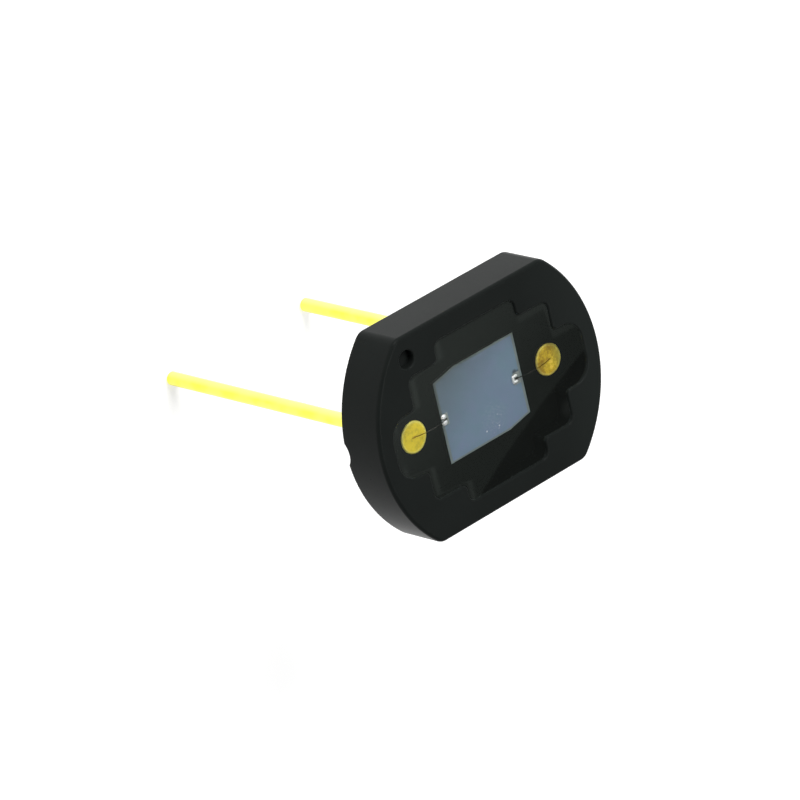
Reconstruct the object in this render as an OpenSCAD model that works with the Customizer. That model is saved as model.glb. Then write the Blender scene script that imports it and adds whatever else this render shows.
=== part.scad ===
// Two-lead silicon photodiode: a chip in the resin-filled recess of a flat-sided ceramic disc.
// Millimetres. The origin is the middle of the back face, which seats on the board.
// +Z points at the light, X runs through both leads, and the flats face +Y and -Y.

/* [Package] */
// Width of the disc across its round sides
disc_d = 8.1; // [7.8:0.1:10]
// Width across the two flats
flats_w = 6; // [5.6:0.1:7]
// Thickness of the ceramic from back to front
disc_t = 1.5; // [1.3:0.05:2]
// Radius in plan where a flat runs into a round side
corner_r = 0.4; // [0.2:0.1:1.2]
// Rounding of the front rim
front_edge_r = 0.1; // [0.02:0.01:0.15]
// Rounding of the back rim
back_edge_r = 0.05; // [0.02:0.01:0.1]

/* [Recess] */
// Thickness of the ceramic left under the recess
floor_t = 0.58; // [0.3:0.02:0.7]
// Length of the middle bay, along X
bay_l = 2.96; // [2.6:0.02:3.4]
// Width of the middle bay, along Y
bay_w = 4.75; // [4:0.05:5]
// Length of the shelf that holds the chip, along X
shelf_l = 5.18; // [4.6:0.02:5.6]
// Width of the shelf that holds the chip, along Y
shelf_w = 3.64; // [3.2:0.02:3.8]
// Length of the slot that holds both pin heads, along X
slot_l = 7.04; // [6.6:0.02:7.2]
// Width of the slot that holds both pin heads, along Y
slot_w = 1.8; // [1.4:0.02:2.2]
// Radius of the bay's and the shelf's corners
recess_r = 0.25; // [0.1:0.05:0.4]
// Radius of the slot's corners
slot_r = 0.6; // [0.3:0.05:0.7]
// Radius of the ceramic's inner steps between bay, shelf and slot
step_r = 0.15; // [0.05:0.05:0.2]

/* [Marks] */
// Diameter of the polarity dimple
dimple_d = 0.5; // [0.3:0.05:0.6]
// Depth of the polarity dimple
dimple_depth = 0.22; // [0.05:0.01:0.4]
// Distance of the dimple from the middle, along X
dimple_x = 2.48; // [2.3:0.02:2.6]
// Distance of the dimple from the middle, along Y
dimple_y = 2.34; // [2.2:0.02:2.4]
// Width of the scalloped notch in the back edge, along Y
notch_w = 0.7; // [0.4:0.05:1]
// Height of the scalloped notch at its middle
notch_h = 0.16; // [0.08:0.01:0.25]
// How far the notch reaches in from the round side
notch_l = 0.4; // [0.2:0.05:0.6]

/* [Leads] */
// Distance between the two leads
lead_pitch = 5.08; // [4.9:0.02:5.4]
// Diameter of the free lead
lead_d = 0.4; // [0.3:0.01:0.5]
// Length of the free lead behind the back face
lead_l = 9.1; // [4:0.1:20]
// Diameter of the pin under its head, from where it tapers to the free lead
shank_d = 0.5; // [0.42:0.01:0.6]
// Gap between the tapered shank and its hole
shank_gap = 0.01; // [0.005:0.005:0.03]
// Diameter of the nail head
head_d = 0.92; // [0.7:0.02:1.1]
// Thickness of the nail head
head_t = 0.22; // [0.12:0.01:0.35]
// Rounding of the nail head's top edge
head_edge_r = 0.05; // [0.02:0.01:0.1]
// Chamfer on the lead's cut end
tip_chamfer = 0.05; // [0.02:0.01:0.1]

/* [Chip] */
// Length of the chip, along X
chip_l = 3.04; // [2.4:0.02:3.4]
// Width of the chip, along Y
chip_w = 2.56; // [2:0.02:2.8]
// Thickness of the chip
chip_t = 0.22; // [0.15:0.01:0.35]
// How far the two trimmed corners reach along the chip's long sides
trim_l = 0.8; // [0.2:0.05:1.2]
// How much the two trimmed corners take off the chip's short sides
trim_w = 0.17; // [0.02:0.01:0.3]
// Thickness of the adhesive under the chip
glue_t = 0.02; // [0.01:0.01:0.06]
// How far the adhesive stays back from the chip's edge
glue_inset = 0.06; // [0:0.01:0.2]

/* [Bonds] */
// Length of a bond pad, along X
pad_l = 0.24; // [0.15:0.01:0.4]
// Width of a bond pad, along Y
pad_w = 0.34; // [0.2:0.01:0.5]
// Thickness of a bond pad
pad_t = 0.02; // [0.01:0.005:0.03]
// Distance of the anode pad from the chip's edge
anode_pad_inset = 0.02; // [0.01:0.01:0.2]
// Distance of the cathode pad from the chip's edge
cathode_pad_inset = 0.09; // [0.01:0.01:0.2]
// Diameter of the bond wire
wire_d = 0.03; // [0.02:0.005:0.04]
// Height of a wire's loop above the line between its two feet
loop_h = 0.2; // [0.1:0.01:0.3]
// Length of the pressed foot at each end of a wire
foot_l = 0.14; // [0.1:0.01:0.2]
// Width of the pressed foot at each end of a wire
foot_w = 0.06; // [0.04:0.01:0.1]
// Thickness of the pressed foot at each end of a wire
foot_t = 0.03; // [0.03:0.005:0.05]

/* [Resin] */
// Depth of the resin's hollow in the middle, below the front face
resin_dip = 0.08; // [0.01:0.01:0.12]

/* [Hidden] */
$fn = 64;
// Overshoot of a cutting shape past the face it cuts
over = 0.5;
// The anode lies on the -X side and the cathode on the +X side
ANODE = -1;
CATHODE = 1;
disc_r = disc_d / 2;
head_top = floor_t + head_t;
chip_base = floor_t + glue_t;
chip_top = chip_base + chip_t;
pad_top = chip_top + pad_t;
// Centre and direction of the circle that rounds each corner of the disc's plan
corner_y = flats_w / 2 - corner_r;
corner_x = sqrt(pow(disc_r - corner_r, 2) - pow(corner_y, 2));
corner_turn = atan2(corner_y, corner_x);
// Radius of the ball whose cap is the resin's hollow, and that cap's reach
dip_reach = slot_l / 2;
dip_r = (pow(dip_reach, 2) + pow(resin_dip, 2)) / (2 * resin_dip);
// Radius of the scallop that is the notch
notch_r = (pow(notch_w / 2, 2) + pow(notch_h, 2)) / (2 * notch_h);

function pad_x(side) = side * (chip_l / 2 - pad_l / 2 - (side == ANODE ? anode_pad_inset : cathode_pad_inset));
function head_x(side) = side * lead_pitch / 2;

// What a rounded corner takes away: the square corner of side r less the quarter circle.
module corner_waste(r) {
    difference() {
        square(r + over);
        circle(r);
    }
}

// A rectangle about the origin with all its corners rounded.
module round_rect(l, w, r) {
    difference() {
        square([l, w], center = true);
        for (x = [0, 1], y = [0, 1])
            mirror([x, 0])
                mirror([0, y])
                    translate([l / 2 - r, w / 2 - r])
                        corner_waste(r);
    }
}

// Section of the ceramic's edge from the back to the front, for a side at a distance of reach.
module edge_section(reach) {
    difference() {
        square([reach, disc_t]);
        translate([reach - front_edge_r, disc_t - front_edge_r])
            corner_waste(front_edge_r);
        translate([reach - back_edge_r, back_edge_r])
            mirror([0, 1])
                corner_waste(back_edge_r);
    }
}

// The sharp tip between a flat and a round side, less the circle that replaces it.
module corner_tip() {
    past = disc_r + over;
    tip_x = (past - (flats_w / 2 + over) * sin(corner_turn)) / cos(corner_turn);
    difference() {
        polygon([
            [corner_x, corner_y],
            [corner_x, flats_w / 2 + over],
            [tip_x, flats_w / 2 + over],
            [past * cos(corner_turn), past * sin(corner_turn)]
        ]);
        translate([corner_x, corner_y])
            circle(corner_r);
    }
}

// The ceramic disc before anything is cut into it.
module disc_blank() {
    difference() {
        intersection() {
            rotate_extrude()
                edge_section(disc_r);
            rotate([90, 0, 90])
                linear_extrude(disc_d, center = true)
                    for (side = [0, 1])
                        mirror([side, 0])
                            edge_section(flats_w / 2);
        }
        for (x = [0, 1], y = [0, 1])
            mirror([x, 0, 0])
                mirror([0, y, 0])
                    translate([0, 0, -over])
                        linear_extrude(disc_t + 2 * over)
                            corner_tip();
    }
}

// Fills the sharp inner step at a corner of the recess with the ceramic's rounded step.
module step_fill(x, y) {
    for (sx = [0, 1], sy = [0, 1])
        mirror([sx, 0])
            mirror([0, sy])
                translate([x + step_r, y + step_r])
                    rotate(180)
                        intersection() {
                            corner_waste(step_r);
                            square(step_r);
                        }
}

// Plan of the recess: bay, shelf and slot crossing each other, with rounded steps.
module recess_plan() {
    round_rect(bay_l, bay_w, recess_r);
    round_rect(shelf_l, shelf_w, recess_r);
    round_rect(slot_l, slot_w, slot_r);
    step_fill(bay_l / 2, shelf_w / 2);
    step_fill(shelf_l / 2, slot_w / 2);
}

// The tapered hole for one pin, run past both faces that it opens into.
module pin_hole(side) {
    back_r = lead_d / 2 + shank_gap;
    front_r = shank_d / 2 + shank_gap;
    translate([head_x(side), 0, 0])
        rotate_extrude()
            polygon([
                [0, -over],
                [back_r, -over],
                [back_r, 0],
                [front_r, floor_t],
                [front_r, disc_t],
                [0, disc_t]
            ]);
}

// One nail-head pin on the axis of its hole: head, tapered shank and free lead in one outline.
module nail_head_pin(side) {
    translate([head_x(side), 0, 0])
        rotate_extrude()
            difference() {
                polygon([
                    [0, -lead_l],
                    [lead_d / 2 - tip_chamfer, -lead_l],
                    [lead_d / 2, tip_chamfer - lead_l],
                    [lead_d / 2, 0],
                    [shank_d / 2, floor_t],
                    [head_d / 2, floor_t],
                    [head_d / 2, head_top],
                    [0, head_top]
                ]);
                translate([head_d / 2 - head_edge_r, head_top - head_edge_r])
                    corner_waste(head_edge_r);
            }
}

// Plan of the chip: a sawn rectangle with two opposite corners trimmed at a slant.
module chip_plan() {
    x = chip_l / 2;
    y = chip_w / 2;
    polygon([
        [-x, -y],
        [x - trim_l, -y],
        [x, trim_w - y],
        [x, y],
        [trim_l - x, y],
        [-x, y - trim_w]
    ]);
}

module bond_pad(side) {
    translate([pad_x(side), 0, chip_top + pad_t / 2])
        cube([pad_l, pad_w, pad_t], center = true);
}

// The pressed foot of a wire, on a surface at height z.
module wire_foot(x, z) {
    translate([x, 0, z])
        linear_extrude(foot_t) {
            square([foot_l - foot_w, foot_w], center = true);
            for (end = [-1, 1])
                translate([end * (foot_l - foot_w) / 2, 0])
                    circle(foot_w / 2);
        }
}

// A wire bowed in the XZ plane from one foot to the other.
module bond_wire(side) {
    from = [head_x(side), head_top + foot_t / 2];
    to = [pad_x(side), pad_top + foot_t / 2];
    span = norm(to - from);
    bow_r = (pow(span / 2, 2) + pow(loop_h, 2)) / (2 * loop_h);
    half_turn = asin(span / 2 / bow_r);
    slope = atan((to[1] - from[1]) / (to[0] - from[0]));
    wire_foot(from[0], head_top);
    wire_foot(to[0], pad_top);
    translate([(from[0] + to[0]) / 2, 0, (from[1] + to[1]) / 2])
        rotate([0, -slope, 0])
            translate([0, 0, loop_h - bow_r])
                rotate([90, 0, 0])
                    rotate([0, 0, 90 - half_turn])
                        rotate_extrude(angle = 2 * half_turn)
                            translate([bow_r, 0])
                                circle(d = wire_d, $fn = 24);
}

// The hollow that the resin's surface sinks to as it cures.
module resin_hollow() {
    rotate_extrude()
        intersection() {
            translate([0, disc_t - resin_dip + dip_r])
                circle(dip_r, $fn = 2880);
            translate([0, disc_t - resin_dip])
                square([dip_reach + over, resin_dip + over]);
        }
}

module package_body() {
    color([0.11, 0.12, 0.12])
        difference() {
            disc_blank();
            translate([0, 0, floor_t])
                linear_extrude(disc_t)
                    recess_plan();
            for (side = [ANODE, CATHODE])
                pin_hole(side);
            translate([-dimple_x, dimple_y, disc_t - dimple_depth])
                cylinder(h = dimple_depth + over, d = dimple_d);
            translate([-disc_r - over, 0, notch_h - notch_r])
                rotate([0, 90, 0])
                    cylinder(h = notch_l + over, r = notch_r);
        }
}

module lead_anode() {
    color([0.86, 0.74, 0.25])
        nail_head_pin(ANODE);
}

module lead_cathode() {
    color([0.86, 0.74, 0.25])
        nail_head_pin(CATHODE);
}

module photodiode_chip() {
    color([0.45, 0.52, 0.62])
        translate([0, 0, chip_base])
            linear_extrude(chip_t)
                chip_plan();
}

module die_attach() {
    color([0.2, 0.2, 0.2])
        translate([0, 0, floor_t + glue_t / 2])
            cube([chip_l - 2 * glue_inset, chip_w - 2 * (trim_w + glue_inset), glue_t], center = true);
}

module bond_pad_anode() {
    color([0.88, 0.89, 0.9])
        bond_pad(ANODE);
}

module bond_pad_cathode() {
    color([0.88, 0.89, 0.9])
        bond_pad(CATHODE);
}

module bond_wire_anode() {
    color([0.75, 0.76, 0.78])
        bond_wire(ANODE);
}

module bond_wire_cathode() {
    color([0.75, 0.76, 0.78])
        bond_wire(CATHODE);
}

module resin_fill() {
    color([0.8, 0.85, 0.85, 0.3])
        difference() {
            translate([0, 0, floor_t])
                linear_extrude(disc_t - floor_t)
                    recess_plan();
            resin_hollow();
            photodiode_chip();
            die_attach();
            for (side = [ANODE, CATHODE]) {
                nail_head_pin(side);
                bond_pad(side);
                bond_wire(side);
            }
        }
}

package_body();
lead_anode();
lead_cathode();
photodiode_chip();
die_attach();
bond_pad_anode();
bond_pad_cathode();
bond_wire_anode();
bond_wire_cathode();
resin_fill();
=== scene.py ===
import math
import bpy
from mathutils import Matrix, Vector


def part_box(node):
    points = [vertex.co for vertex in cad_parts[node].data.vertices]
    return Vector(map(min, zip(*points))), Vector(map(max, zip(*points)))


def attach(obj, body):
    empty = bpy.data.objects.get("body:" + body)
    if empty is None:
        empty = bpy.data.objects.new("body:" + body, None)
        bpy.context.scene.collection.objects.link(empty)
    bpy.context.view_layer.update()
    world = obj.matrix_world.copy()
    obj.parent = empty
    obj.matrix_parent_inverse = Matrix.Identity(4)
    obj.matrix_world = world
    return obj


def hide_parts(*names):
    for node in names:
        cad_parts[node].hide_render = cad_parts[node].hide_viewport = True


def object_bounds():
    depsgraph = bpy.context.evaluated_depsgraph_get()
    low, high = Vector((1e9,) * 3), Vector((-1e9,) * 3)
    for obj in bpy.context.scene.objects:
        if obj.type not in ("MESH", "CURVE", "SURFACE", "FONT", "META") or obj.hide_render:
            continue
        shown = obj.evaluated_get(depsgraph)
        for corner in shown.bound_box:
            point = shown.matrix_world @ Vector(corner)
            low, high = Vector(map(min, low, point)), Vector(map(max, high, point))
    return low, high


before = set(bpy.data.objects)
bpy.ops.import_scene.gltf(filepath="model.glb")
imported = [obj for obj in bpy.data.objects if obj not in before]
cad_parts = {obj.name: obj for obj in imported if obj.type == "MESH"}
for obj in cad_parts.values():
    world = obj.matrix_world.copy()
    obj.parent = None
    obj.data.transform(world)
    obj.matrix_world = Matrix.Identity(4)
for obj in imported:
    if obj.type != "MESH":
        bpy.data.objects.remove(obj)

from types import SimpleNamespace

import bmesh
import bpy
from bpy.props import FloatProperty, FloatVectorProperty, PointerProperty
from mathutils import Euler, Matrix, Vector

bl_info = {
    "name": "Silicon Photodiode",
    "version": (1, 0, 0),
    "blender": (4, 5, 0),
    "location": "View3D > Sidebar > Photodiode",
    "description": "Dresses the packed photodiode with its finished pieces and sets it on a studio stage",
    "category": "Object",
}

# Shapes are modelled in millimetres, where the operators' own tolerances suit them, and end up in metres.
MM = 0.001

CAD_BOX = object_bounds()
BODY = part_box("package_body")
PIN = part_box("lead_cathode")
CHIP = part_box("photodiode_chip")
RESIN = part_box("resin_fill")
ANODE_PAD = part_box("bond_pad_anode")
CATHODE_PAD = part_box("bond_pad_cathode")

ANODE = -1
CATHODE = 1

# The axes as directions.
X, Y, Z = (1, 0, 0), (0, 1, 0), (0, 0, 1)

# How near two points are one, in millimetres, also after a cut, and how many degrees make an edge sharp.
NEAR = 1e-4
NEAR_CUT = 1e-3
SHARP = 35
# Steps in a full turn, in a quarter's share of the disc's round side, and in the corners of the plans.
TURN_STEPS = 48
SIDE_STEPS = 40
CORNER_STEPS = 8
INNER_STEPS = 6
SLOT_STEPS = 12


def length(name, description, default):
    return FloatProperty(
        name=name, description=description, default=default, unit="LENGTH", subtype="DISTANCE", precision=5
    )


def share(name, description, default):
    return FloatProperty(name=name, description=description, default=default, min=0, max=1, subtype="FACTOR")


def colour(name, description, default):
    return FloatVectorProperty(name=name, description=description, default=default, min=0, max=1, subtype="COLOR")


class CeramicSettings(bpy.types.PropertyGroup):
    disc_d: length("Round width", "Width across the disc's round sides", (BODY[1] - BODY[0]).x)
    flats_w: length("Flat width", "Width across the disc's two flats", (BODY[1] - BODY[0]).y)
    disc_t: length("Thickness", "Thickness from the back face to the front", BODY[1].z)
    corner_r: length("Corner radius", "Radius in plan where a flat runs into a round side", 0.4 * MM)
    front_edge_r: length("Front rim", "Rounding of the front rim", 0.1 * MM)
    back_edge_r: length("Back rim", "Rounding of the back rim", 0.05 * MM)
    fired_edge_r: length("Fired edge", "Rounding of the recess's and the dimple's rims, as firing leaves it", 0.05 * MM)
    dimple_d: length("Dimple width", "Diameter of the polarity dimple", 0.5 * MM)
    dimple_depth: length("Dimple depth", "Depth of the polarity dimple", 0.22 * MM)
    dimple_x: length("Dimple X", "Place of the dimple along X", -2.48 * MM)
    dimple_y: length("Dimple Y", "Place of the dimple along Y", 2.34 * MM)
    notch_w: length("Notch width", "Width of the notch in the back edge", 0.7 * MM)
    notch_h: length("Notch height", "Height of the notch in the back edge", 0.16 * MM)
    notch_l: length("Notch length", "How far the notch reaches in from the round side", 0.4 * MM)
    colour: colour("Ceramic", "Colour of the black ceramic", (0.0122, 0.0145, 0.0136))
    gloss: share("Gloss", "How much the bare ceramic shines", 0.043)


class RecessSettings(bpy.types.PropertyGroup):
    bay_l: length("Bay length", "Length of the middle bay along X", 2.96 * MM)
    bay_w: length("Bay width", "Width of the middle bay along Y", (RESIN[1] - RESIN[0]).y)
    shelf_l: length("Shelf length", "Length of the chip's shelf along X", 5.18 * MM)
    shelf_w: length("Shelf width", "Width of the chip's shelf along Y", 3.64 * MM)
    slot_l: length("Slot length", "Length of the pins' slot along X", (RESIN[1] - RESIN[0]).x)
    slot_w: length("Slot width", "Width of the pins' slot along Y", 1.8 * MM)
    recess_r: length("Recess corner", "Radius of the bay's and the shelf's corners", 0.25 * MM)
    slot_r: length("Slot corner", "Radius of the slot's corners", 0.6 * MM)
    step_r: length("Step radius", "Radius of the inner steps between bay, shelf and slot", 0.15 * MM)
    floor_z: length("Recess floor", "Height of the recess floor above the back face", RESIN[0].z)


class PinSettings(bpy.types.PropertyGroup):
    lead_d: length("Lead", "Diameter of the free lead", 0.4 * MM)
    shank_d: length("Shank", "Diameter of the pin under its head", 0.5 * MM)
    head_d: length("Head", "Diameter of the nail head", (PIN[1] - PIN[0]).x)
    head_top: length("Head top", "Height of the head's top above the back face", PIN[1].z)
    head_edge_r: length("Head rim", "Rounding of the head's top edge", 0.05 * MM)
    tip_z: length("Tip", "Height of the lead's cut end", PIN[0].z)
    tip_chamfer: length("Tip chamfer", "Chamfer on the lead's cut end", 0.05 * MM)
    pitch: length("Pitch", "Distance between the two leads", PIN[0].x + PIN[1].x)
    hole_gap: length("Hole gap", "Gap between the tapered shank and its hole", 0.01 * MM)
    head_colour: colour("Anode head", "Colour of the plating on the anode's coined head", (0.7, 0.55, 0.02))
    # The cathode's head is given a darker colour than the anode's.
    cathode_head_colour: colour("Cathode head", "Colour of the duller plating on the cathode's head", (0.55, 0.39, 0.01))
    # The heads' pale rims are a painted highlight.
    rim_highlight_colour: colour("Head rims", "Colour of the pale rims of the heads", (0.72, 0.7, 0.2))
    lead_colour: colour("Leads", "Colour of the plating on the drawn leads", (1.0, 0.97, 0.17))


class ChipSettings(bpy.types.PropertyGroup):
    trim_l: length("Trim length", "How far the trimmed corners reach along the long sides", 0.8 * MM)
    trim_w: length("Trim width", "How much the trimmed corners take off the short sides", 0.17 * MM)
    border: length("Border", "Width of the uncoated border along the long sides", 0.045 * MM)
    side_border: length("Side border", "Width of the uncoated border along the short sides", 0.085 * MM)
    sawn_edge_r: length("Sawn edge", "Rounding of the sawn edges", 0.012 * MM)
    colour: colour("Coating", "Colour of the coated silicon", (0.105, 0.155, 0.228))
    border_colour: colour("Border", "Colour of the uncoated border", (0.125, 0.158, 0.158))


class BondSettings(bpy.types.PropertyGroup):
    wire_d: length("Wire", "Diameter of a bond wire", 0.03 * MM)
    loop_h: length("Loop", "Height of a wire's loop above the line between its feet", 0.2 * MM)
    foot_l: length("Foot length", "Length of a wire's pressed foot", 0.14 * MM)
    foot_w: length("Foot width", "Width of a wire's pressed foot", 0.06 * MM)
    foot_t: length("Foot thickness", "Thickness of a wire's pressed foot", 0.03 * MM)
    pad_edge_r: length("Pad edge", "Rounding of a bond pad's edges", 0.006 * MM)
    ear_l: length("Ear length", "Length of each of the anode pad's two ears of pressed-up metal, along X", 0.2 * MM)
    ear_w: length("Ear width", "Width of each of the anode pad's ears, along Y", 0.16 * MM)
    hook_l: length("Hook length", "Length of each of the cathode pad's two ears, along X", 0.17 * MM)
    hook_w: length("Hook width", "Width of the cathode pad's ears and of the metal that joins them", 0.09 * MM)
    ear_h: length("Ear height", "Height of the metal pressed up at each side of a foot", 0.045 * MM)
    ear_gap: length("Ear gap", "Distance between the middles of a pad's two ears", 0.165 * MM)
    ear_shift: length("Ear shift", "How far the ears lie off their pad's middle, towards the anode", 0.04 * MM)
    pad_colour: colour("Pad", "Colour of the bare pads", (0.2, 0.225, 0.215))
    ear_colour: colour("Ears", "Colour of the bright metal that the bonding tool pressed up", (0.97, 0.97, 0.97))
    # The wires' dark colour is a painted reflection of the dark recess; over the heads it is a painted reflection of
    # the gold.
    wire_colour: colour("Wire", "Colour of the wires", (0.06, 0.056, 0.05))
    gilt_reflection_colour: colour("Gilt", "Colour of the wires over the pin heads, where they mirror the gold", (0.45, 0.3, 0.03))


class ResinSettings(bpy.types.PropertyGroup):
    dip: length("Dip", "Depth of the bowl in the resin's surface", 0.08 * MM)
    rim_drop: length("Rim drop", "How far the bowl's rim lies below the front face", 0.035 * MM)
    seat: length("Seat", "How far the resin keys into the ceramic's pores", 0.01 * MM)
    ior: FloatProperty(name="IOR", description="Refractive index of the clear resin", default=1.5, min=1, max=2)
    colour: colour("Resin", "Tint of the clear resin", (0.97, 0.99, 0.97))
    sheen: colour("Sheen", "Tint of what the resin's surface mirrors", (0.8, 1.0, 0.87))
    veil: colour("Veil", "Colour of the haze on the resin", (0.88, 1.0, 0.92))
    haze: share("Haze", "How much haze lies on the clearer side of the resin", 0.0068)
    # The thicker haze is a painted reflection.
    thick_haze: share("Thick haze", "How much haze lies on the resin near the dimple", 0.0195)
    # The haze along the steps' walls is a painted highlight.
    wall_highlight_haze: share("Creep", "How much more haze lies where the resin has crept up the steps' walls", 0.011)


class StageSettings(bpy.types.PropertyGroup):
    camera_place: FloatVectorProperty(
        name="Camera place",
        description="Where the camera stands",
        default=(-0.0896205, 0.0612683, 0.1154433),
        precision=6,
        subtype="XYZ",
        unit="LENGTH",
    )
    camera_turn: FloatVectorProperty(
        name="Camera turn",
        description="How the camera is turned",
        default=(math.radians(-12.13447), math.radians(-41.30361), math.radians(-16.61035)),
        precision=5,
        subtype="EULER",
        unit="ROTATION",
    )
    lens: FloatProperty(
        name="Lens", description="Focal length in millimetres on a 36 mm frame", default=264.949, unit="CAMERA"
    )
    floor: colour("Floor", "Colour of the floor", (0.8, 0.8, 0.8))
    floor_glow: share("Floor white", "How white the floor looks by itself", 0.55)
    key: FloatProperty(name="Key", description="Power of the lamp above the upper flat", default=1.2, unit="POWER")
    fill: FloatProperty(name="Fill", description="Power of the lamp in front of the window", default=0.3, unit="POWER")
    skirting: share("Skirting", "Brightness of the room near the floor", 0.9)
    walls: share("Walls", "Brightness of the room's walls", 0.15)
    gap: share("Gap", "Brightness of the dark gap below the ceiling", 0.02)
    ceiling: share("Ceiling", "Brightness of the room's ceiling", 0.25)


class PhotodiodeSettings(bpy.types.PropertyGroup):
    ceramic: PointerProperty(type=CeramicSettings, name="Ceramic", description="The ceramic package")
    recess: PointerProperty(type=RecessSettings, name="Recess", description="The stepped recess")
    pin: PointerProperty(type=PinSettings, name="Pins", description="The nail-head pins")
    chip: PointerProperty(type=ChipSettings, name="Chip", description="The silicon chip")
    bond: PointerProperty(type=BondSettings, name="Bonds", description="Bond pads and wires")
    resin: PointerProperty(type=ResinSettings, name="Resin", description="The clear resin")
    stage: PointerProperty(type=StageSettings, name="Stage", description="Floor, lamps and camera")


def in_mm(group):
    """The group's values, with its lengths turned from metres into millimetres."""
    values = {}
    for prop in group.bl_rna.properties:
        value = getattr(group, prop.identifier)
        values[prop.identifier] = value / MM if getattr(prop, "unit", "") == "LENGTH" else value
    return SimpleNamespace(**values)


class Value:
    """An output socket of a finish. Arithmetic on it adds Math nodes."""

    def __init__(self, finish, socket):
        self.finish = finish
        self.socket = socket

    def math(self, operation, *terms):
        return self.finish.add("ShaderNodeMath", {"operation": operation}, dict(enumerate(terms)))

    def __add__(self, other):
        return self.math("ADD", self, other)

    __radd__ = __add__

    def __sub__(self, other):
        return self.math("SUBTRACT", self, other)

    def __rsub__(self, other):
        return self.math("SUBTRACT", other, self)

    def __mul__(self, other):
        return self.math("MULTIPLY", self, other)

    __rmul__ = __mul__

    def __gt__(self, other):
        return self.math("GREATER_THAN", self, other)

    def __or__(self, other):
        return self.math("MAXIMUM", self, other)

    def __abs__(self):
        return self.math("ABSOLUTE", self)


class Finish:
    """The nodes of one material or of the world."""

    def __init__(self, owner):
        owner.use_nodes = True
        self.tree = owner.node_tree
        self.tree.nodes.clear()

    def add(self, kind, settings=None, inputs=None, output=0):
        """Adds a node, with its settings first and then its sockets' values or links, and gives one output."""
        node = self.tree.nodes.new(kind)
        for name, value in (settings or {}).items():
            setattr(node, name, value)
        for key, value in (inputs or {}).items():
            if isinstance(value, Value):
                self.tree.links.new(value.socket, node.inputs[key])
            elif node.inputs[key].type == "RGBA" and len(value) == 3:
                node.inputs[key].default_value = (*value, 1)
            else:
                node.inputs[key].default_value = value
        return Value(self, node.outputs[output]) if node.outputs else None

    def place(self):
        return self.add("ShaderNodeTexCoord", output="Object")

    def noise(self, scale, detail=4.0, roughness=0.55):
        sockets = {"Vector": self.place(), "Scale": scale, "Detail": detail, "Roughness": roughness}
        return self.add("ShaderNodeTexNoise", None, sockets, "Fac")

    def along(self, way):
        """How far a point lies along a direction."""
        return self.add("ShaderNodeVectorMath", {"operation": "DOT_PRODUCT"}, {0: self.place(), 1: way}, "Value")

    def apart(self, point):
        """How far a point lies from another."""
        return self.add("ShaderNodeVectorMath", {"operation": "DISTANCE"}, {0: self.place(), 1: point}, "Value")

    def ramp(self, value, low, high):
        """A smooth step from 0 at low to 1 at high."""
        sockets = {"Value": value, "From Min": low, "From Max": high}
        return self.add("ShaderNodeMapRange", {"interpolation_type": "SMOOTHSTEP"}, sockets)

    def fade(self, way, low, high):
        """A smooth step along a direction."""
        return self.ramp(self.along(way), low, high)

    def spot(self, point, inner, outer):
        """1 near a point, falling smoothly to 0 from inner to outer."""
        return 1 - self.ramp(self.apart(point), inner, outer)

    def mix(self, amount, low, high):
        """The colour that lies amount of the way from low to high."""
        return self.add("ShaderNodeMix", {"data_type": "RGBA"}, {0: amount, 6: low, 7: high}, 2)

    def bump(self, height, strength, distance):
        return self.add("ShaderNodeBump", None, {"Strength": strength, "Distance": distance, "Height": height})

    def principled(self, **sockets):
        named = {name.replace("_", " "): value for name, value in sockets.items()}
        return self.add("ShaderNodeBsdfPrincipled", None, named)

    def surface(self, shader):
        self.add("ShaderNodeOutputMaterial", None, {"Surface": shader})


def new_finish(name):
    material = bpy.data.materials.new(name)
    return material, Finish(material)


def times(tone, factor):
    return tuple(min(1.0, part * factor) for part in tone)


def black_ceramic(tone, gloss):
    """Fired black ceramic with a fine grain, and painted light that makes it lighter towards +X."""
    material, f = new_finish("black_ceramic")
    grain = f.noise(14000.0, detail=6.0, roughness=0.65)
    cloud = f.noise(900.0, detail=3.0)
    body = f.mix(cloud, times(tone, 0.85), times(tone, 1.15))
    # Painted light: the ceramic grows lighter towards +X.
    body = f.mix(f.fade(X, 1.5 * MM, 4.0 * MM), body, times(tone, 1.4))
    speck = f.ramp(grain, 0.62, 0.72)
    f.surface(
        f.principled(
            Base_Color=f.mix(speck * 0.4, body, times(tone, 1.6)),
            Roughness=0.24 + 0.1 * grain,
            Specular_IOR_Level=gloss,
            Normal=f.bump(grain, strength=0.2, distance=3e-6),
        )
    )
    return material


def wetted_ceramic(tone):
    """The same ceramic inside the recess, where the resin takes its gloss away and painted shade darkens it far below
    its own tone. Painted light keeps it pale just below the front.
    """
    material, f = new_finish("wetted_ceramic")
    cloud = f.noise(1400.0, detail=3.0)
    # Painted light pales the walls just below the front.
    painted_light_near_top = f.fade(Z, BODY[1].z - 0.2 * MM, BODY[1].z - 0.06 * MM)
    f.surface(
        f.principled(
            # Painted shade darkens the rest far below the ceramic's own tone.
            Base_Color=f.mix(painted_light_near_top, f.mix(cloud, times(tone, 0.08), times(tone, 0.16)), times(tone, 1.5)),
            Roughness=0.6 + 0.1 * cloud,
            Specular_IOR_Level=0.0,
        )
    )
    return material


# Painted glints and painted shade on the cathode's head, and the painted highlight on the leads' upper side.
GOLD_PAINTED_GLINT = (0.8, 0.58, 0.06)
GOLD_PAINTED_SHADE = (0.26, 0.26, 0.03)
GOLD_PAINTED_HIGHLIGHT = (1.0, 0.98, 0.36)
# From where to where a head turns into its rim's painted highlight, from its middle outwards.
RIM_HIGHLIGHT_RUN = (0.36 * MM, 0.44 * MM)


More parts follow.
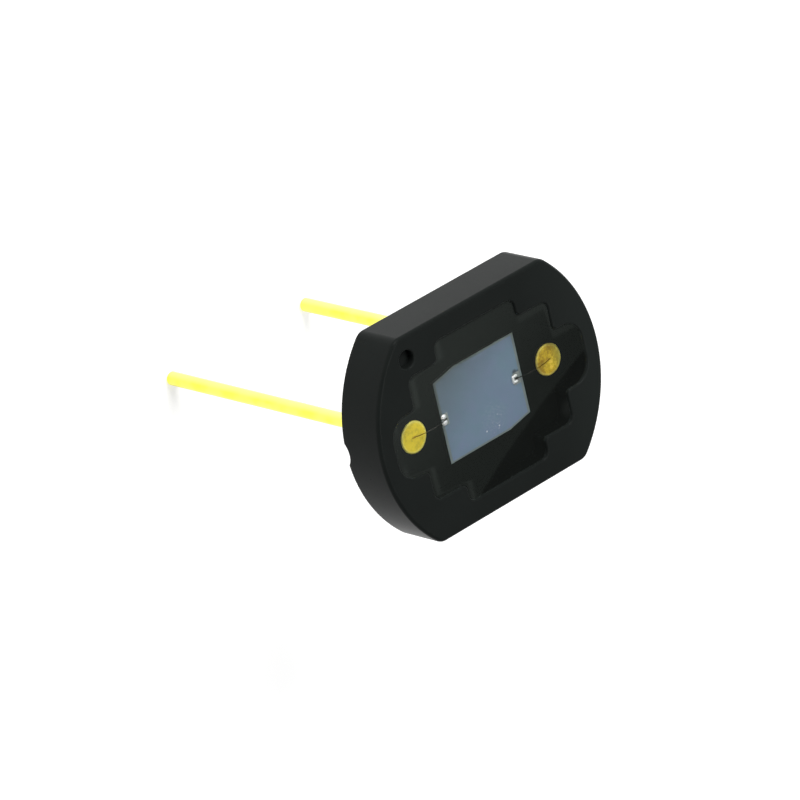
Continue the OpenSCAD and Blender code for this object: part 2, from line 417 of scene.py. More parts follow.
def gold_plate(pin):
    """Gold plating, grainy on the coined heads with a painted highlight on their rims, and smooth on the drawn leads
    with a painted highlight on their upper side.
    """
    material, f = new_finish("gold_plate")
    head = f.along(Z) > 0.0
    cathode_side = f.along(X) > 0.0
    fine = f.noise(15000.0, detail=3.0, roughness=0.6)
    lumps = f.noise(4500.0, detail=2.0)
    grain = 0.45 * fine + 0.55 * lumps
    deep = f.mix(cathode_side, times(pin.head_colour, 0.74), (pin.cathode_head_colour[0] * 0.5, pin.cathode_head_colour[1] * 0.4, 0.0))
    spotted = f.mix(f.ramp(grain, 0.36, 0.58), deep, f.mix(cathode_side, pin.head_colour, pin.cathode_head_colour))
    # Painted glints on the cathode's head.
    spotted = f.mix(cathode_side * f.ramp(grain, 0.55, 0.63) * 0.8, spotted, GOLD_PAINTED_GLINT)
    # Painted shade on the cathode head's outer side.
    outer = f.fade(X, pin.pitch / 2 + 0.08 * MM, pin.pitch / 2 + 0.4 * MM)
    spotted = f.mix(outer * 0.6, spotted, GOLD_PAINTED_SHADE)
    # A painted highlight on each head's rim.
    middles = ((side * pin.pitch / 2, 0, pin.head_top) for side in (ANODE, CATHODE))
    anode_rim_highlight, cathode_rim_highlight = (f.ramp(f.apart(middle), *RIM_HIGHLIGHT_RUN) for middle in middles)
    rim = anode_rim_highlight * cathode_rim_highlight
    coined = f.mix(rim * (0.6 - 0.25 * cathode_side), spotted, pin.rim_highlight_colour)
    drawn = f.ramp(f.noise(1500.0, detail=2.0), 0.35, 0.65)
    low = (pin.lead_colour[0], pin.lead_colour[1] * 0.97, pin.lead_colour[2] * 0.6)
    # A painted highlight on the leads' upper side.
    painted_highlight_side = f.fade(Y, 0.09 * MM, 0.21 * MM)
    drawn = f.mix(painted_highlight_side * 0.7, f.mix(drawn, low, pin.lead_colour), GOLD_PAINTED_HIGHLIGHT)
    f.surface(
        f.principled(
            Base_Color=f.mix(head, drawn, coined),
            Metallic=1.0 - 0.5 * head,
            Roughness=0.2 + head * (0.25 + 0.2 * fine),
            Normal=f.bump(head * (fine + lumps), strength=0.3, distance=1.5e-5),
        )
    )
    return material


# Painted shade: the way in which the chip darkens, and from where to where along it. Its trimmed edge darkens along a
# slant.
SHADE_WAY = (-0.6, 0.8, 0.0)
SHADE_RUN = (-0.4 * MM, 1.9 * MM)
SLANT_WAY = (-0.208, 0.978, 0.0)
SLANT_RUN = (1.05 * MM, 1.45 * MM)
SCRATCH_TONE = (0.6, 0.62, 0.62)


def coated_silicon(tone):
    """The chip's coating: teal and blue patches, darker towards a trimmed corner by painted shade, scratched in one
    place, with two spots of painted shadow.
    """
    material, f = new_finish("coated_silicon")
    red, green, blue = tone
    cloud = f.noise(1200.0, detail=3.0)
    broad = f.ramp(f.noise(900.0, detail=2.0, roughness=0.5), 0.35, 0.65)
    small = f.ramp(f.noise(4500.0, detail=2.0, roughness=0.6), 0.35, 0.65)
    patches = 0.45 * broad + 0.4 * small + 0.15 * f.noise(12000.0, detail=3.0, roughness=0.7)
    body = f.mix(patches, (red * 0.88, green * 1.02, blue * 0.95), (red * 1.06, green * 0.98, blue * 1.05))
    # Painted shade towards the trimmed corner.
    body = f.mix(f.fade(SHADE_WAY, *SHADE_RUN), body, (red * 0.6, green * 0.6, blue * 0.54))
    body = f.mix(f.fade(SLANT_WAY, *SLANT_RUN) * 0.6, body, (red * 0.5, green * 0.48, blue * 0.4))

    def spot(x, y, inner, outer):
        return f.spot((x * MM, y * MM, CHIP[1].z), inner * MM, outer * MM)

    def scratches(turn):
        sockets = {"Vector": f.place(), "Rotation": (0, 0, turn), "Scale": (1.0, 2.5, 1.0)}
        sockets = {"Vector": f.add("ShaderNodeMapping", None, sockets), "Scale": 16000.0, "Detail": 2.0}
        return f.ramp(f.add("ShaderNodeTexNoise", None, sockets, "Fac"), 0.58, 0.72)

    scuffed = spot(0.3, -0.72, 0.1, 0.65) * (scratches(0.5) | scratches(-0.9)) * 0.3
    grit = spot(0.383, -0.998, 0.01, 0.035) | spot(-0.081, -0.964, 0.012, 0.035)
    # Two spots of painted shadow beside the cathode's pad.
    painted_shadow_spots = spot(1.29, 0.19, 0.05, 0.1) | spot(1.41, 0.17, 0.02, 0.07)
    body = f.mix(painted_shadow_spots * 0.9, body, times(tone, 0.18))
    f.surface(
        f.principled(
            Base_Color=f.mix(scuffed | grit * 0.6, body, SCRATCH_TONE),
            Metallic=0.2,
            Roughness=0.45 + 0.1 * cloud,
        )
    )
    return material


def sawn_silicon(tone):
    """The chip's bare silicon, darker by painted shade towards the same trimmed corner as its coating."""
    material, f = new_finish("sawn_silicon")
    sawn = f.noise(22000.0, detail=3.0)
    body = f.mix(sawn, times(tone, 0.8), times(tone, 1.15))
    f.surface(
        f.principled(
            Base_Color=f.mix(f.fade(SHADE_WAY, *SHADE_RUN), body, times(tone, 0.5)),
            Metallic=0.2,
            Roughness=0.5 + 0.2 * sawn,
        )
    )
    return material


def bonding_metal(name, tone, metallic, dullness):
    material, f = new_finish(name)
    worked = f.noise(30000.0, detail=3.0)
    f.surface(
        f.principled(
            Base_Color=f.mix(worked, times(tone, 0.9), tone),
            Metallic=metallic,
            Roughness=dullness + 0.16 * worked,
            Normal=f.bump(worked, strength=0.3, distance=3e-6),
        )
    )
    return material


def wire_metal(tone, gilt_reflection_tone, reach):
    """Drawn wire, dark as a painted reflection of the dark recess and darker still on the cathode's side as painted
    shade, with a painted gold reflection over the heads, which begin at that reach from the chip's middle.
    """
    material, f = new_finish("wire_metal")
    gilt_reflection = f.ramp(f.apart((-0.1 * MM, 0, CHIP[1].z)), reach - 0.05 * MM, reach + 0.05 * MM)
    # Painted shade darkens the cathode's wire.
    cathode_side = f.along(X) > 0.0
    f.surface(
        f.principled(
            Base_Color=f.mix(gilt_reflection, f.mix(cathode_side, tone, times(tone, 0.4)), gilt_reflection_tone),
            Metallic=1.0,
            Roughness=0.25 + 0.16 * f.noise(30000.0, detail=3.0),
        )
    )
    return material


def dark_seal():
    """Painted shade: a dark matt finish on the sides of the pins' heads."""
    material, f = new_finish("dark_seal")
    mottle = f.noise(9000.0, detail=2.0)
    f.surface(
        f.principled(
            Base_Color=f.mix(mottle, (0.012, 0.01, 0.006), (0.03, 0.024, 0.01)),
            Roughness=0.5 + 0.2 * mottle,
            Specular_IOR_Level=0.0,
        )
    )
    return material


def dark_adhesive():
    material, f = new_finish("dark_adhesive")
    paste = f.noise(9000.0, detail=3.0)
    f.surface(
        f.principled(
            Base_Color=f.mix(paste, (0.01, 0.01, 0.01), (0.02, 0.02, 0.019)),
            Roughness=0.5 + 0.2 * paste,
            Specular_IOR_Level=0.0,
        )
    )
    return material


# Painted highlights laid on as haze on the resin: from where to where its bands end, measured in from the recess's
# walls, and a patch in one corner.
LEFT_BAND = (0.17 * MM, 0.33 * MM)
UPPER_BAND = (0.16 * MM, 0.28 * MM)
PATCH_PLACE = (2.55 * MM, -1.4 * MM, BODY[1].z)
PATCH_RUN = (0.08 * MM, 0.36 * MM)
# The way in which the haze thickens as a painted reflection, and from where to where along it.
REFLECTION_HAZE_WAY = (-0.41, 0.91, 0.0)
REFLECTION_HAZE_RUN = (-1.2 * MM, 2.6 * MM)


def crept(f, s):
    """Up to 1 in the painted highlights along the recess's left walls, its upper right ones and in one corner, else 0.
    """

    def wall(across, ends, corners):
        """How far out a stepped wall lies at each place across it."""
        out = ends[0]
        for far, near, corner in zip(ends, ends[1:], corners):
            out = out - (far - near) * f.ramp(across, corner - s.step_r, corner)
        return out

    x, y = f.along(X), f.along(Y)
    left = x + wall(abs(y), (s.slot_l / 2, s.shelf_l / 2, s.bay_l / 2), (s.slot_w / 2, s.shelf_w / 2))
    upper = wall(x, (s.bay_w / 2, s.shelf_w / 2, s.slot_w / 2), (s.bay_l / 2, s.shelf_l / 2)) - y
    off_middle = f.ramp(abs(y), 0.2 * MM, s.slot_w / 2)
    right_of_bay = f.ramp(x, s.bay_l / 2, s.bay_l / 2 + 0.1 * MM)
    left_band = f.ramp(left, 0.0, LEFT_BAND[0]) * (1 - f.ramp(left, *LEFT_BAND)) * off_middle
    upper_band = right_of_bay * (1 - f.ramp(upper, *UPPER_BAND))
    return left_band | 0.7 * upper_band | 0.6 * f.spot(PATCH_PLACE, *PATCH_RUN)


def clear_resin(s, recess):
    """Clear cast resin under a faint haze, thicker where it stands in for painted reflections and painted highlights.
    Lamp rays pass straight through it, so that they reach what it covers.
    """
    material, f = new_finish("clear_resin")
    wave = f.noise(420.0, detail=2.0)
    glass = f.principled(
        Base_Color=f.mix(wave, times(s.colour, 0.99), s.colour),
        Roughness=0.01 + 0.008 * wave,
        IOR=s.ior,
        Specular_Tint=s.sheen,
        Transmission_Weight=1.0,
        Normal=f.bump(wave, strength=0.2, distance=4e-6),
    )
    veil = f.principled(Base_Color=s.veil, Roughness=1.0, Specular_IOR_Level=0.0)
    # Painted reflection: the haze thickens towards the upper left.
    thick = f.fade(REFLECTION_HAZE_WAY, *REFLECTION_HAZE_RUN)
    # Painted highlights: more haze along some of the recess's walls and in one corner.
    haze = s.haze + (s.thick_haze - s.haze) * thick + s.wall_highlight_haze * crept(f, recess)
    hazy = f.add("ShaderNodeMixShader", None, {0: haze, 1: glass, 2: veil})
    lamp_ray = f.add("ShaderNodeLightPath", output="Is Shadow Ray")
    clear = f.add("ShaderNodeBsdfTransparent", None, {"Color": s.colour})
    f.surface(f.add("ShaderNodeMixShader", None, {0: lamp_ray, 1: hazy, 2: clear}))
    return material


def pale_floor(tone, glow):
    """A matt pale floor that looks white by itself and still takes the part's shadow."""
    material, f = new_finish("pale_floor")
    paths = [f.add("ShaderNodeLightPath", output=f"Is {kind} Ray") for kind in ("Camera", "Glossy", "Transmission")]
    seen = paths[0] | paths[1] | paths[2]
    f.surface(
        f.principled(
            Base_Color=tone,
            Roughness=1.0,
            Specular_IOR_Level=0.0,
            Emission_Color=f.mix(seen, (0, 0, 0), (glow, glow, glow)),
            Emission_Strength=1.0,
        )
    )
    return material


def draw_outline(bm, start, moves, z):
    """Draws a quarter of a plan from the Y axis to the X axis, mirrors it about both and gives the filled face.

    A move of two numbers is a straight line to that point. A move of four is an arc: its centre, turn and steps.
    """
    vert = bm.verts.new((*start, z))
    for move in moves:
        if len(move) == 2:
            vert = bmesh.ops.extrude_vert_indiv(bm, verts=[vert])["verts"][0]
            vert.co = (*move, z)
        else:
            x, y, turn, steps = move
            arc = bmesh.ops.spin(
                bm, geom=[vert], cent=(x, y, z), axis=Z, angle=math.radians(turn), steps=steps
            )
            vert = next(part for part in arc["geom_last"] if isinstance(part, bmesh.types.BMVert))
    for axis in ("X", "Y"):
        bmesh.ops.mirror(bm, geom=bm.verts[:] + bm.edges[:], matrix=Matrix(), merge_dist=NEAR, axis=axis)
    return bmesh.ops.contextual_create(bm, geom=bm.edges[:])["faces"][0]


def disc_outline(bm, s, z):
    radius = s.disc_d / 2
    y = s.flats_w / 2 - s.corner_r
    x = math.sqrt((radius - s.corner_r) ** 2 - y**2)
    turn = math.degrees(math.atan2(y, x))
    moves = [(x, s.flats_w / 2), (x, y, turn - 90, CORNER_STEPS), (0, 0, -turn, SIDE_STEPS)]
    return draw_outline(bm, (0, s.flats_w / 2), moves, z)


def recess_outline(bm, s, grow, z):
    """Draws the plan of the recess, with its walls moved out by grow."""
    bay = (s.bay_l / 2 + grow, s.bay_w / 2 + grow)
    shelf = (s.shelf_l / 2 + grow, s.shelf_w / 2 + grow)
    slot = (s.slot_l / 2 + grow, s.slot_w / 2 + grow)
    out = s.recess_r + grow
    end = s.slot_r + grow
    step = s.step_r - grow
    moves = [
        (bay[0] - out, bay[1]),
        (bay[0] - out, bay[1] - out, -90, CORNER_STEPS),
        (bay[0], shelf[1] + step),
        (bay[0] + step, shelf[1] + step, 90, INNER_STEPS),
        (shelf[0] - out, shelf[1]),
        (shelf[0] - out, shelf[1] - out, -90, CORNER_STEPS),
        (shelf[0], slot[1] + step),
        (shelf[0] + step, slot[1] + step, 90, INNER_STEPS),
        (slot[0] - end, slot[1]),
        (slot[0] - end, slot[1] - end, -90, SLOT_STEPS),
        (slot[0], 0),
    ]
    return draw_outline(bm, (0, bay[1]), moves, z)


def pull_up(bm, face, height):
    """Extrudes a flat face straight up."""
    made = bmesh.ops.extrude_face_region(bm, geom=[face])["geom"]
    bmesh.ops.translate(bm, verts=[part for part in made if isinstance(part, bmesh.types.BMVert)], vec=(0, 0, height))


def rims(bm, z, radius=None):
    """The level edges at height z, or only those at that distance from the Z axis."""
    found = []
    for edge in bm.edges:
        level = all(abs(vert.co.z - z) < NEAR for vert in edge.verts)
        round_it = radius is None or all(abs(vert.co.xy.length - radius) < NEAR for vert in edge.verts)
        if level and round_it:
            found.append(edge)
    return found


def ease(bm, edges, width, segments):
    bmesh.ops.bevel(
        bm, geom=edges, offset=width, segments=segments, profile=0.5, affect="EDGES", material=-1, clamp_overlap=True
    )


def sharp_edges(bm, degrees):
    return [edge for edge in bm.edges if edge.calc_face_angle(0) > math.radians(degrees)]


def shade(bm, degrees=40):
    """Smooth shading, broken only at edges sharper than the angle."""
    for face in bm.faces:
        face.smooth = True
    for edge in sharp_edges(bm, degrees):
        edge.smooth = False


def taper(low_r, high_r, low, high, x=0.0, y=0.0):
    """An upright rod of two radii, for cutting a round hole."""
    bm = bmesh.new()
    bmesh.ops.create_cone(bm, cap_ends=True, segments=TURN_STEPS, radius1=low_r, radius2=high_r, depth=high - low)
    bmesh.ops.translate(bm, verts=bm.verts, vec=(x, y, (low + high) / 2))
    return bm


def block(low, high):
    """A plain block between two corners."""
    bm = bmesh.new()
    bmesh.ops.create_cube(bm, size=1)
    low, high = Vector(low), Vector(high)
    bmesh.ops.scale(bm, verts=bm.verts, vec=high - low)
    bmesh.ops.translate(bm, verts=bm.verts, vec=(low + high) / 2)
    return bm


def loose_object(name, bm, materials=()):
    mesh = bpy.data.meshes.new(name)
    bm.to_mesh(mesh)
    bm.free()
    for material in materials:
        mesh.materials.append(material)
    made = bpy.data.objects.new(name, mesh)
    bpy.context.scene.collection.objects.link(made)
    return made


def applied(made):
    """The mesh that an object's modifiers give. The object goes."""
    bpy.context.view_layer.update()
    mesh = bpy.data.meshes.new_from_object(made.evaluated_get(bpy.context.evaluated_depsgraph_get()))
    bpy.data.meshes.remove(made.data)
    return mesh


def carve(blank, cutters, materials):
    """Cuts every cutter out of the blank and gives the shape that is left, each cut with its cutter's material."""
    body = loose_object("blank", blank, materials)
    tools = [loose_object("cutter", cutter, materials) for cutter in cutters]
    for tool in tools:
        cut = body.modifiers.new("cut", "BOOLEAN")
        cut.operation = "DIFFERENCE"
        cut.solver = "EXACT"
        cut.object = tool
    left = applied(body)
    for tool in tools:
        bpy.data.meshes.remove(tool.data)
    bm = bmesh.new()
    bm.from_mesh(left)
    bpy.data.meshes.remove(left)
    bmesh.ops.remove_doubles(bm, verts=bm.verts, dist=NEAR_CUT)
    return bm


def new_piece(name, bm, nodes, materials):
    """Makes a finished piece of a shape in millimetres, in place of the CAD nodes it stands for.

    The normals are weighted by the faces' areas while these are in millimetres. In metres they are too small for it.
    """
    bmesh.ops.recalc_face_normals(bm, faces=bm.faces)
    shade(bm)
    rough = loose_object("rough", bm, materials)
    rough.modifiers.new("even_normals", "WEIGHTED_NORMAL").keep_sharp = True
    mesh = applied(rough)
    mesh.name = name
    mesh.transform(Matrix.Scale(MM, 4))
    piece = bpy.data.objects.new(name, mesh)
    bpy.context.scene.collection.objects.link(piece)
    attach(piece, "root")
    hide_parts(*nodes)


class CeramicPackage(bpy.types.Operator):
    """Model the flat-sided ceramic disc with its recess, dimple, pin holes and notch"""

    bl_idname = "photodiode.ceramic_package"
    bl_label = "Ceramic Package"

    def execute(self, context):
        settings = context.scene.photodiode
        s, recess, pin = in_mm(settings.ceramic), in_mm(settings.recess), in_mm(settings.pin)
        blank = bmesh.new()
        pull_up(blank, disc_outline(blank, s, 0), s.disc_t)
        ease(blank, rims(blank, s.disc_t), s.front_edge_r, segments=4)
        ease(blank, rims(blank, 0), s.back_edge_r, segments=3)
        hollow = bmesh.new()
        pull_up(hollow, recess_outline(hollow, recess, 0, recess.floor_z), s.disc_t)
        dimple_r = s.dimple_d / 2
        dimple = taper(dimple_r, dimple_r, s.disc_t - s.dimple_depth, s.disc_t + 1, s.dimple_x, s.dimple_y)
        notch_r = ((s.notch_w / 2) ** 2 + s.notch_h**2) / (2 * s.notch_h)
        notch = taper(notch_r, notch_r, -s.disc_d, s.notch_l - s.disc_d / 2)
        bmesh.ops.rotate(notch, verts=notch.verts, cent=(0, 0, 0), matrix=Matrix.Rotation(math.pi / 2, 3, "Y"))
        bmesh.ops.translate(notch, verts=notch.verts, vec=(0, 0, s.notch_h - notch_r))
        cutters = [hollow, dimple, notch, *(self.pin_hole(pin, recess.floor_z, side) for side in (ANODE, CATHODE))]
        for face in hollow.faces:
            face.material_index = 1
        for shape in (blank, *cutters):
            bmesh.ops.recalc_face_normals(shape, faces=shape.faces)
        finishes = [
            black_ceramic(settings.ceramic.colour, settings.ceramic.gloss),
            wetted_ceramic(settings.ceramic.colour),
        ]
        bm = carve(blank, cutters, finishes)
        sharp = set(sharp_edges(bm, SHARP))
        ease(bm, [edge for edge in rims(bm, s.disc_t) if edge in sharp], s.fired_edge_r, segments=3)
        for face in bm.faces:
            if face.calc_center_median().z > s.disc_t - s.fired_edge_r:
                face.material_index = 0
        new_piece("ceramic_package", bm, ["package_body"], finishes)
        return {"FINISHED"}

    @staticmethod
    def pin_hole(pin, floor_z, side):
        """The tapered hole of one pin, run past both faces that it opens into."""
        past = 0.2
        widening = (pin.shank_d - pin.lead_d) / 2 / floor_z
        low_r = pin.lead_d / 2 + pin.hole_gap - widening * past
        high_r = pin.shank_d / 2 + pin.hole_gap + widening * past
        return taper(low_r, high_r, -past, floor_z + past, side * pin.pitch / 2)


class NailHeadPins(bpy.types.Operator):
    """Turn the two gold-plated nail-head pins"""

    bl_idname = "photodiode.nail_head_pins"
    bl_label = "Nail-Head Pins"

    def execute(self, context):
        settings = context.scene.photodiode
        s, floor_z = in_mm(settings.pin), in_mm(settings.recess).floor_z
        finishes = [gold_plate(settings.pin), dark_seal()]
        profile = [
            (0, s.head_top),
            (s.head_d / 2, s.head_top),
            (s.head_d / 2, floor_z),
            (s.shank_d / 2, floor_z),
            (s.lead_d / 2, 0),
            (s.lead_d / 2, s.tip_z + s.tip_chamfer),
            (s.lead_d / 2 - s.tip_chamfer, s.tip_z),
            (0, s.tip_z),
        ]
        for side, node in ((ANODE, "lead_anode"), (CATHODE, "lead_cathode")):
            bm = bmesh.new()
            verts = [bm.verts.new((radius, 0, z)) for radius, z in profile]
            edges = [bm.edges.new(pair) for pair in zip(verts, verts[1:])]
            bmesh.ops.spin(bm, geom=verts + edges, axis=Z, angle=math.tau, steps=TURN_STEPS, use_merge=True)
            bmesh.ops.remove_doubles(bm, verts=bm.verts, dist=NEAR)
            ease(bm, rims(bm, s.head_top, s.head_d / 2), s.head_edge_r, segments=4)
            ease(bm, rims(bm, floor_z, s.head_d / 2), s.head_edge_r / 2, segments=2)
            # The heads' sides take painted shade.
            for face in bm.faces:
                if floor_z < face.calc_center_median().z < s.head_top - s.head_edge_r:
                    face.material_index = 1
            bmesh.ops.translate(bm, verts=bm.verts, vec=(side * s.pitch / 2, 0, 0))
            new_piece(node.replace("lead", "pin"), bm, [node], finishes)
        return {"FINISHED"}


class SiliconChip(bpy.types.Operator):
    """Model the trimmed silicon chip with its coated window and bare border, and finish the adhesive under it"""

    bl_idname = "photodiode.silicon_chip"
    bl_label = "Silicon Chip"

    def execute(self, context):
        settings = context.scene.photodiode
        s = in_mm(settings.chip)
        low, high = CHIP[0] / MM, CHIP[1] / MM
        bm = bmesh.new()
        corners = [
            (low.x, low.y),
            (high.x - s.trim_l, low.y),
            (high.x, low.y + s.trim_w),
            (high.x, high.y),
            (low.x + s.trim_l, high.y),
            (low.x, high.y - s.trim_w),
        ]
        plan = bmesh.ops.contextual_create(bm, geom=[bm.verts.new((x, y, low.z)) for x, y in corners])["faces"][0]
        pull_up(bm, plan, high.z - low.z)
        ease(bm, rims(bm, high.z), s.sawn_edge_r, segments=2)
        window = max(bm.faces, key=lambda face: (face.calc_center_median().z, face.calc_area()))
        bmesh.ops.inset_region(bm, faces=[window], thickness=s.border, use_even_offset=True)
        inside = high.x - s.side_border
        for vert in window.verts:
            vert.co.x = max(-inside, min(inside, vert.co.x))
        for face in bm.faces:
            # The sawn sides take the dark adhesive's finish, partly as adhesive crept up them and partly as painted
            # shade.
            face.material_index = 1 if face.calc_center_median().z > high.z - s.sawn_edge_r else 2
        window.material_index = 0
        finishes = [
            coated_silicon(settings.chip.colour),
            sawn_silicon(settings.chip.border_colour),
            dark_adhesive(),
        ]
        new_piece("silicon_chip", bm, ["photodiode_chip"], finishes)
        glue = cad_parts["die_attach"]
        glue.data.materials.clear()
        glue.data.materials.append(finishes[2])
        return {"FINISHED"}


class BondPads(bpy.types.Operator):
    """Model the two aluminium bond pads on the chip"""

    bl_idname = "photodiode.bond_pads"
    bl_label = "Bond Pads"

    def execute(self, context):
        settings = context.scene.photodiode
        s = in_mm(settings.bond)
        finishes = [
            bonding_metal("pad_metal", settings.bond.pad_colour, metallic=0.2, dullness=0.5),
            bonding_metal("ear_metal", settings.bond.ear_colour, metallic=0.5, dullness=0.35),
        ]
        for node, (low, high) in (("bond_pad_anode", ANODE_PAD), ("bond_pad_cathode", CATHODE_PAD)):
            bm = block(low / MM, high / MM)
            ease(bm, sharp_edges(bm, SHARP), s.pad_edge_r, segments=2)
            middle = Vector(((low.x + high.x) / 2, 0, high.z)) / MM
            middle.x -= s.ear_shift
            hooked = node == "bond_pad_cathode"
            long, wide = (s.hook_l, s.hook_w) if hooked else (s.ear_l, s.ear_w)
            for side in (-1, 1):
                self.ear(bm, middle + Vector((0, side * s.ear_gap / 2, 0)), (long, wide, s.ear_h))
            if hooked:
                self.ear(bm, middle - Vector((long / 2, 0, 0)), (wide, s.ear_gap + wide, s.ear_h))
            new_piece(node.replace("bond_pad", "pad"), bm, [node], finishes)
        return {"FINISHED"}

    @staticmethod
    def ear(bm, middle, size):
        """Adds a low dome of metal, sunk into the pad by a fifth of its height."""
        dome = bmesh.ops.create_uvsphere(bm, u_segments=20, v_segments=10, radius=1)["verts"]
        bmesh.ops.scale(bm, verts=dome, vec=(size[0] / 2, size[1] / 2, size[2]))
        bmesh.ops.translate(bm, verts=dome, vec=middle - Vector((0, 0, size[2] / 5)))
        for face in {face for vert in dome for face in vert.link_faces}:
            face.material_index = 1


class BondWires(bpy.types.Operator):
    """Bend the two bond wires from the pin heads to the pads, with a pressed foot at each end"""

    bl_idname = "photodiode.bond_wires"
    bl_label = "Bond Wires"

    def execute(self, context):
        settings = context.scene.photodiode
        s, pin = in_mm(settings.bond), in_mm(settings.pin)
        reach = (settings.pin.pitch - settings.pin.head_d) / 2
        metal = wire_metal(settings.bond.wire_colour, settings.bond.gilt_reflection_colour, reach)
        for side, node, pad in (
            (ANODE, "bond_wire_anode", ANODE_PAD),
            (CATHODE, "bond_wire_cathode", CATHODE_PAD),
        ):
            start = Vector((side * pin.pitch / 2, 0, pin.head_top + s.foot_t / 2))
            end = Vector(((pad[0].x + pad[1].x) / 2 / MM, 0, pad[1].z / MM + s.foot_t / 2))
            bm = bmesh.new()
            self.sweep(bm, start, end, s)
            for foot in (start, end):
                self.press(bm, foot, (s.foot_l, s.foot_w, s.foot_t))
            new_piece(node.replace("bond_wire", "wire"), bm, [node], [metal])
        return {"FINISHED"}

    @staticmethod
    def sweep(bm, start, end, s):
        """Spins the wire's round section along the bow between its two ends."""
        span = end - start
        bow_r = ((span.length / 2) ** 2 + s.loop_h**2) / (2 * s.loop_h)
        half_turn = math.asin(span.length / 2 / bow_r)
        sense = 1 if span.x > 0 else -1
        up = Vector((-span.z, 0, span.x)).normalized() * sense
        centre = (start + end) / 2 + up * (s.loop_h - bow_r)
        ring = bmesh.ops.create_circle(bm, cap_ends=True, segments=16, radius=s.wire_d / 2)["verts"]
        outward = (start - centre).normalized()
        turn = Matrix((outward, Vector(Y), outward.cross(Vector(Y)))).transposed()
        bmesh.ops.rotate(bm, verts=ring, cent=(0, 0, 0), matrix=turn)
        bmesh.ops.translate(bm, verts=ring, vec=start)
        section = bm.verts[:] + bm.edges[:] + bm.faces[:]
        bmesh.ops.spin(bm, geom=section, cent=centre, axis=(0, sense, 0), angle=2 * half_turn, steps=24)

    @staticmethod
    def press(bm, middle, size):
        """Adds the flattened foot that the bonding tool leaves."""
        ball = bmesh.ops.create_uvsphere(bm, u_segments=16, v_segments=8, radius=1)["verts"]
        bmesh.ops.scale(bm, verts=ball, vec=Vector(size) / 2)
        bmesh.ops.translate(bm, verts=ball, vec=middle)


class ResinWindow(bpy.types.Operator):
    """Cast the clear resin that fills the recess, with its slightly hollow surface"""

    bl_idname = "photodiode.resin_window"
    bl_label = "Resin Window"

    def execute(self, context):
        settings = context.scene.photodiode
        s, recess, ceramic = in_mm(settings.resin), in_mm(settings.recess), in_mm(settings.ceramic)
        bm = bmesh.new()
        pool = recess_outline(bm, recess, s.seat, ceramic.disc_t)
        if pool.normal.z < 0:
            pool.normal_flip()
        self.quarter(bm, pool, recess)
        reach = recess.slot_l / 2
        for vert in bm.verts:
            vert.co.z = ceramic.disc_t - s.rim_drop - s.dip * (1 - vert.co.xy.length_squared / reach**2)
        made = bmesh.ops.extrude_edge_only(bm, edges=[edge for edge in bm.edges if edge.is_boundary])["geom"]
        foot = [part for part in made if isinstance(part, bmesh.types.BMVert)]
        for vert in foot:
            vert.co.z = recess.floor_z - s.seat
        edges = [part for part in made if isinstance(part, bmesh.types.BMEdge)]
        bmesh.ops.contextual_create(bm, geom=[edge for edge in edges if set(edge.verts) <= set(foot)])
        new_piece("resin_window", bm, ["resin_fill"], [clear_resin(settings.resin, settings.recess)])
        return {"FINISHED"}

    @staticmethod
    def quarter(bm, pool, recess):
        """Cuts the open surface into small squares, so that it can be bowed."""
        square = 0.1
        patch = {pool}
        for across, reach in ((Vector(X), recess.slot_l / 2), (Vector(Y), recess.bay_w / 2)):
            count = round(2 * reach / square)
            for cut in range(1, count):
                edges = {edge for face in patch for edge in face.edges}
                verts = {vert for face in patch for vert in face.verts}
                place = across * (2 * reach * cut / count - reach)
                made = bmesh.ops.bisect_plane(
                    bm, geom=[*patch, *edges, *verts], plane_co=place, plane_no=across, dist=NEAR
                )
                patch = {part for part in made["geom"] if isinstance(part, bmesh.types.BMFace)}


# The floor's half width, and each lamp's width and place.
FLOOR_REACH = 1.5
KEY_WIDTH = 0.22
KEY_PLACE = Vector((0.1, 0.75, 0.65)) * 0.4
FILL_WIDTH = 0.12
FILL_PLACE = Vector((0.33, -0.23, 0.915)) * 0.4
FRAME_WIDTH = 36
# The axis of the room's bands, from where to where along it the gap and the ceiling begin, and the skirting's heights.
ROOM_AXIS = (0.24, 0.551, 0.799)
GAP_RUN = (0.5241, 0.5253)
CEILING_RUN = (0.55, 0.6)
SKIRTING_RUN = (0.1, 0.6)


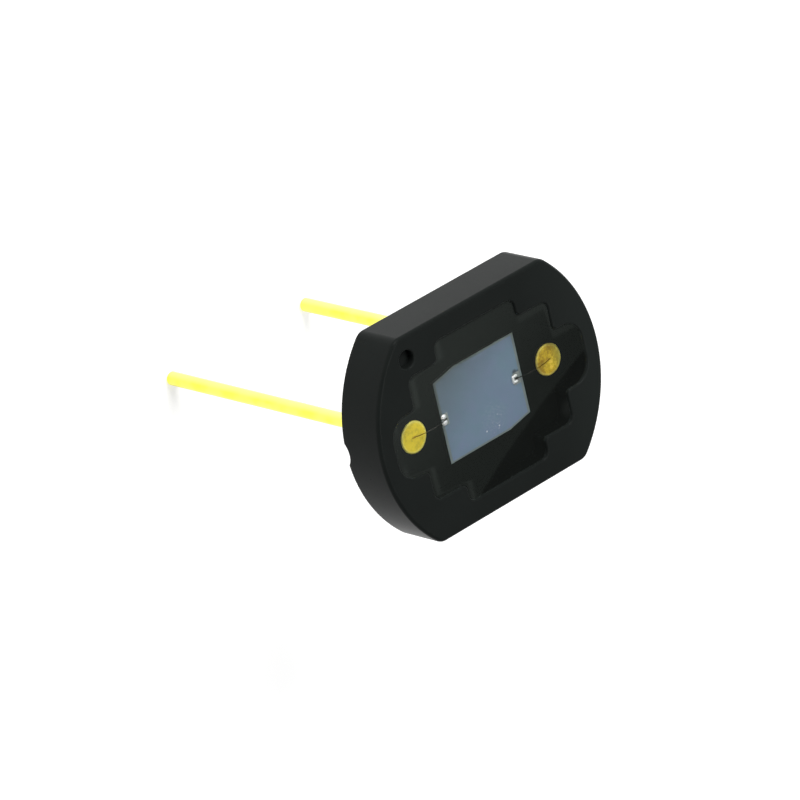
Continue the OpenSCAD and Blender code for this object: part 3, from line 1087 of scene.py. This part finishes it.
class Stage(bpy.types.Operator):
    """Set the floor, the lamps, the room's light and the camera"""

    bl_idname = "photodiode.stage"
    bl_label = "Stage"

    def execute(self, context):
        scene = context.scene
        s = scene.photodiode.stage
        bm = bmesh.new()
        bmesh.ops.create_grid(bm, x_segments=1, y_segments=1, size=FLOOR_REACH)
        bmesh.ops.translate(bm, verts=bm.verts, vec=(0, 0, CAD_BOX[0].z))
        floor = loose_object("floor", bm, [pale_floor(s.floor, s.floor_glow)])
        self.lamp(scene, "key_lamp", s.key, KEY_WIDTH, KEY_PLACE)
        self.lamp(scene, "fill_lamp", s.fill, FILL_WIDTH, FILL_PLACE)
        self.room(scene, s)
        camera = bpy.data.objects.new("camera", bpy.data.cameras.new("camera"))
        camera.data.sensor_fit = "HORIZONTAL"
        camera.data.sensor_width = FRAME_WIDTH
        camera.data.lens = s.lens
        camera.data.clip_start = 0.01
        camera.data.clip_end = 10
        camera.matrix_world = Matrix.LocRotScale(Vector(s.camera_place), Euler(s.camera_turn), None)
        scene.collection.objects.link(camera)
        scene.camera = camera
        scene.view_settings.view_transform = "Standard"
        return {"FINISHED"}

    @staticmethod
    def lamp(scene, name, power, size, place):
        light = bpy.data.lights.new(name, "AREA")
        light.energy = power
        light.shape = "SQUARE"
        light.size = size
        lamp = bpy.data.objects.new(name, light)
        lamp.matrix_world = Matrix.LocRotScale(place, place.to_track_quat("Z", "Y"), None)
        scene.collection.objects.link(lamp)

    @staticmethod
    def room(scene, s):
        """A room with a bright skirting, pale walls and a dark gap below its ceiling. The camera sees it as white."""
        scene.world = bpy.data.worlds.new("room")
        f = Finish(scene.world)
        way = f.add("ShaderNodeTexCoord", output="Generated")
        height = f.add("ShaderNodeSeparateXYZ", None, {"Vector": way}, "Z")
        slope = f.add("ShaderNodeVectorMath", {"operation": "DOT_PRODUCT"}, {0: way, 1: ROOM_AXIS}, "Value")
        skirting, walls, gap, ceiling = ((level,) * 3 for level in (s.skirting, s.walls, s.gap, s.ceiling))
        bands = f.mix(f.ramp(slope, *GAP_RUN), walls, f.mix(f.ramp(slope, *CEILING_RUN), gap, ceiling))
        tone = f.mix(f.ramp(height, *SKIRTING_RUN), skirting, bands)
        seen = f.add("ShaderNodeLightPath", output="Is Camera Ray")
        dim = f.add("ShaderNodeBackground", None, {"Color": tone, "Strength": 1.0})
        white = f.add("ShaderNodeBackground", None, {"Color": (1, 1, 1), "Strength": 1.0})
        room = f.add("ShaderNodeMixShader", None, {0: seen, 1: dim, 2: white})
        f.add("ShaderNodeOutputWorld", None, {"Surface": room})


STEPS = (CeramicPackage, NailHeadPins, SiliconChip, BondPads, BondWires, ResinWindow, Stage)


class PhotodiodePanel(bpy.types.Panel):
    """Buttons for the photodiode's pieces and stage"""

    bl_idname = "VIEW3D_PT_photodiode"
    bl_label = "Photodiode"
    bl_space_type = "VIEW_3D"
    bl_region_type = "UI"
    bl_category = "Photodiode"

    def draw(self, context):
        for step in STEPS:
            self.layout.operator(step.bl_idname)


CLASSES = (
    CeramicSettings,
    RecessSettings,
    PinSettings,
    ChipSettings,
    BondSettings,
    ResinSettings,
    StageSettings,
    PhotodiodeSettings,
    *STEPS,
    PhotodiodePanel,
)


def register():
    for item in CLASSES:
        bpy.utils.register_class(item)
    bpy.types.Scene.photodiode = PointerProperty(type=PhotodiodeSettings)


def unregister():
    del bpy.types.Scene.photodiode
    for item in reversed(CLASSES):
        bpy.utils.unregister_class(item)


def main():
    register()
    for step in (
        bpy.ops.photodiode.ceramic_package,
        bpy.ops.photodiode.nail_head_pins,
        bpy.ops.photodiode.silicon_chip,
        bpy.ops.photodiode.bond_pads,
        bpy.ops.photodiode.bond_wires,
        bpy.ops.photodiode.resin_window,
        bpy.ops.photodiode.stage,
    ):
        step()


if __name__ == "__main__":
    main()
